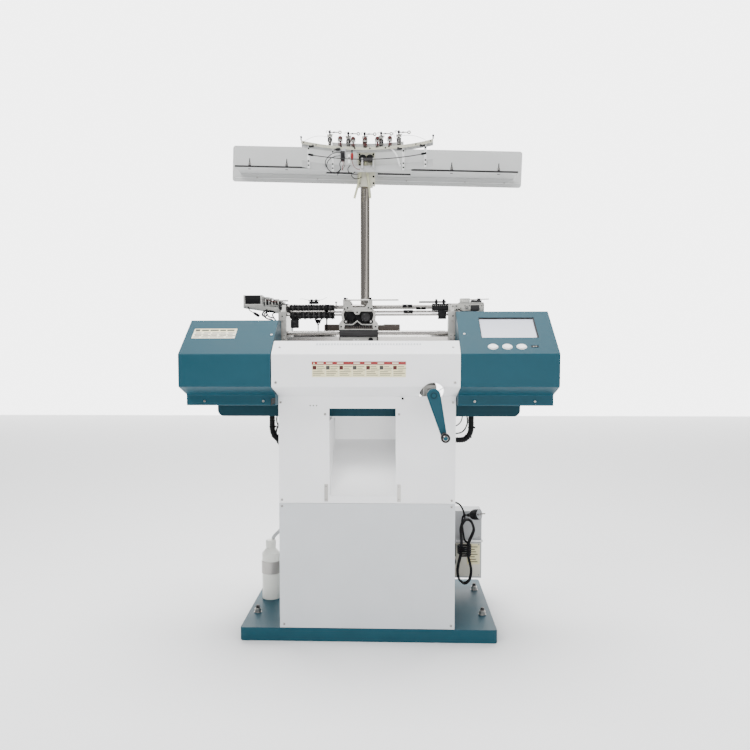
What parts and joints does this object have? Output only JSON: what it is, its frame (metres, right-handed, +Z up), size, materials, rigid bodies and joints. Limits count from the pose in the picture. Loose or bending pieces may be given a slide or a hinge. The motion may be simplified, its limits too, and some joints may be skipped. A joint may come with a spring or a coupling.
{
  "type": "flat-bed glove knitting machine",
  "caption": "Free-standing flat-bed glove knitting machine with side covers, a hand crank, a cam carriage on a V needle bed and an overhead yarn rack.",
  "frame": {"origin": "bounding-box centre in X and Y, on the floor in Z", "axes": "+X to the right of someone facing the crank, +Y away from them, +Z up"},
  "size_m": [1.11, 0.83, 1.676],
  "materials": {
    "teal_paint": "satin teal powder coat",
    "white_paint": "satin white powder coat",
    "rack_paint": "satin warm grey powder coat",
    "bed_steel": "ground steel",
    "rod_chrome": "hard chrome",
    "dark_steel": "blackened steel",
    "zinc": "zinc plated",
    "aluminium": "milled",
    "black_plastic": "matt",
    "white_plastic": "gloss",
    "grey_plastic": "matt",
    "screen_plastic": "glossy screen",
    "bottle_plastic": "translucent",
    "belt_rubber": "matt",
    "cord_rubber": "matt"
  },
  "bodies": {
    "frame": {"base_plate": "teal_paint", "levelling_feet": "zinc", "cabinet_shell": "white_paint", "lower_front_panel": "white_paint", "upper_front_panel": "white_paint", "fabric_chute": "white_paint", "bed_beam": "teal_paint", "left_cover": "teal_paint", "right_cover": "teal_paint", "front_cover": "white_paint", "end_frames": "aluminium", "needle_beds": "bed_steel", "guide_rods": "rod_chrome", "timing_belts": "belt_rubber", "main_motor": "dark_steel", "shaft_bearings": "aluminium", "touch_screen": "screen_plastic", "panel_switches": "black_plastic", "control_board": "grey_plastic", "change_motor": "dark_steel", "sensor_bracket": "dark_steel", "rack_post": "rod_chrome", "yarn_tray": "rack_paint", "rack_clamp": "rack_paint", "tension_beam": "rack_paint", "tension_posts": "dark_steel", "rack_fittings": "black_plastic", "oil_bottle": "bottle_plastic", "supply_box": "grey_plastic", "conduits": "black_plastic", "cord_tube": "cord_rubber", "cord_hank": "cord_rubber", "cord_plug": "black_plastic", "straps_and_screws": "zinc"},
    "carriage": {"carriage_slide": "dark_steel", "carriage_housing": "aluminium", "carriage_bridge": "aluminium", "rear_carriage": "dark_steel"},
    "stitch_knob": {"stitch_knob": "black_plastic"},
    "upper_feeder": {"upper_feeder": "dark_steel"},
    "lower_feeder": {"lower_feeder": "dark_steel"},
    "crank": {"crank_shaft": "bed_steel", "crank_arm": "teal_paint"},
    "crank_handle": {"crank_handle": "black_plastic"},
    "drive_pulley": {"drive_pulley": "aluminium"},
    "main_shaft": {"main_shaft": "bed_steel"},
    "left_button": {"left_button": "white_plastic"},
    "middle_button": {"middle_button": "white_plastic"},
    "right_button": {"right_button": "white_plastic"},
    "stop_wire": {"stop_wire": "zinc"},
    "back_door": {"back_door": "white_paint"},
    "stop_rod": {"stop_rod": "rod_chrome"},
    "takedown_roller": {"takedown_roller": "belt_rubber"},
    "bottle_cap": {"bottle_cap": "bottle_plastic"},
    "tension_arm_1": {"tension_arm_1": "rod_chrome"},
    "tension_arm_2": {"tension_arm_2": "rod_chrome"},
    "tension_arm_3": {"tension_arm_3": "rod_chrome"},
    "tension_arm_4": {"tension_arm_4": "rod_chrome"},
    "tension_arm_5": {"tension_arm_5": "rod_chrome"}
  },
  "joints": [
    {"name": "carriage_travel", "type": "slide", "parent": "frame", "child": "carriage", "axis": [1, 0, 0], "range_m": [-0.08, 0.14]},
    {"name": "stitch_turn", "type": "hinge", "parent": "carriage", "child": "stitch_knob", "pos_m": [0.003, -0.085, 0.951], "axis": [0, -1, 0], "range_deg": [-170, 170]},
    {"name": "upper_feeder_travel", "type": "slide", "parent": "frame", "child": "upper_feeder", "axis": [1, 0, 0], "range_m": [-0.008, 0.075]},
    {"name": "lower_feeder_travel", "type": "slide", "parent": "frame", "child": "lower_feeder", "axis": [1, 0, 0], "range_m": [-0.008, 0.075]},
    {"name": "crank_turn", "type": "hinge", "parent": "frame", "child": "crank", "pos_m": [0.1915, 0, 0.788], "axis": [0, 1, 0], "range_deg": [-149, 261]},
    {"name": "handle_spin", "type": "hinge", "parent": "crank", "child": "crank_handle", "pos_m": [0.2215, -0.38, 0.672], "axis": [0, 1, 0], "continuous": true},
    {"name": "drive_pulley_turn", "type": "hinge", "parent": "frame", "child": "drive_pulley", "pos_m": [-0.44, 0.141, 0.945], "axis": [0, 1, 0], "range_deg": [-149, 261]},
    {"name": "main_shaft_turn", "type": "hinge", "parent": "frame", "child": "main_shaft", "pos_m": [0.43, 0.141, 0.945], "axis": [0, 1, 0], "range_deg": [-149, 261]},
    {"name": "stop_wire_swing", "type": "hinge", "parent": "frame", "child": "stop_wire", "pos_m": [-0.015, 0.196, 1.578], "axis": [1, 0, 0], "range_deg": [-4, 12], "stiffness_Nm_per_rad": 0.8, "springref_deg": -1.72},
    {"name": "door_swing", "type": "hinge", "parent": "frame", "child": "back_door", "pos_m": [-0.268, 0.3305, 0.38], "axis": [0, 0, 1], "range_deg": [0, 110]},
    {"name": "stop_rod_slide", "type": "slide", "parent": "frame", "child": "stop_rod", "axis": [1, 0, 0], "range_m": [-0.008, 0.02]},
    {"name": "takedown_turn", "type": "hinge", "parent": "frame", "child": "takedown_roller", "pos_m": [-0.0205, 0.02, 0.8], "axis": [1, 0, 0], "continuous": true},
    {"name": "cap_turn", "type": "hinge", "parent": "frame", "child": "bottle_cap", "pos_m": [-0.358, 0.155, 0.236], "axis": [0, 0, 1], "continuous": true},
    {"name": "left_button_press", "type": "slide", "parent": "frame", "child": "left_button", "axis": [0, 0.5377, -0.8432], "range_m": [0, 0.003], "stiffness_N_per_m": 300, "springref_m": -0.002},
    {"name": "middle_button_press", "type": "slide", "parent": "frame", "child": "middle_button", "axis": [0, 0.5377, -0.8432], "range_m": [0, 0.003], "stiffness_N_per_m": 300, "springref_m": -0.002},
    {"name": "right_button_press", "type": "slide", "parent": "frame", "child": "right_button", "axis": [0, 0.5377, -0.8432], "range_m": [0, 0.003], "stiffness_N_per_m": 300, "springref_m": -0.002},
    {"name": "tension_arm_1_swing", "type": "hinge", "parent": "frame", "child": "tension_arm_1", "pos_m": [-0.1455, 0.17302, 1.667], "axis": [0, -1, 0], "range_deg": [-5, 40], "stiffness_Nm_per_rad": 0.02, "springref_deg": 2.86},
    {"name": "tension_arm_2_swing", "type": "hinge", "parent": "frame", "child": "tension_arm_2", "pos_m": [-0.083, 0.19418, 1.667], "axis": [0, -1, 0], "range_deg": [-5, 40], "stiffness_Nm_per_rad": 0.02, "springref_deg": 2.86},
    {"name": "tension_arm_3_swing", "type": "hinge", "parent": "frame", "child": "tension_arm_3", "pos_m": [-0.0263, 0.20149, 1.667], "axis": [0, -1, 0], "range_deg": [-5, 40], "stiffness_Nm_per_rad": 0.02, "springref_deg": 2.86},
    {"name": "tension_arm_4_swing", "type": "hinge", "parent": "frame", "child": "tension_arm_4", "pos_m": [0.031, 0.19828, 1.667], "axis": [0, -1, 0], "range_deg": [-5, 40], "stiffness_Nm_per_rad": 0.02, "springref_deg": 2.86},
    {"name": "tension_arm_5_swing", "type": "hinge", "parent": "frame", "child": "tension_arm_5", "pos_m": [0.0922, 0.18265, 1.667], "axis": [0, -1, 0], "range_deg": [-5, 40], "stiffness_Nm_per_rad": 0.02, "springref_deg": 2.86}
  ],
  "couplings": [
    {"joint": "crank_turn", "follows": "carriage_travel", "rad_per_m": 32.41},
    {"joint": "drive_pulley_turn", "follows": "carriage_travel", "rad_per_m": 32.41},
    {"joint": "main_shaft_turn", "follows": "carriage_travel", "rad_per_m": 32.41}
  ]
}
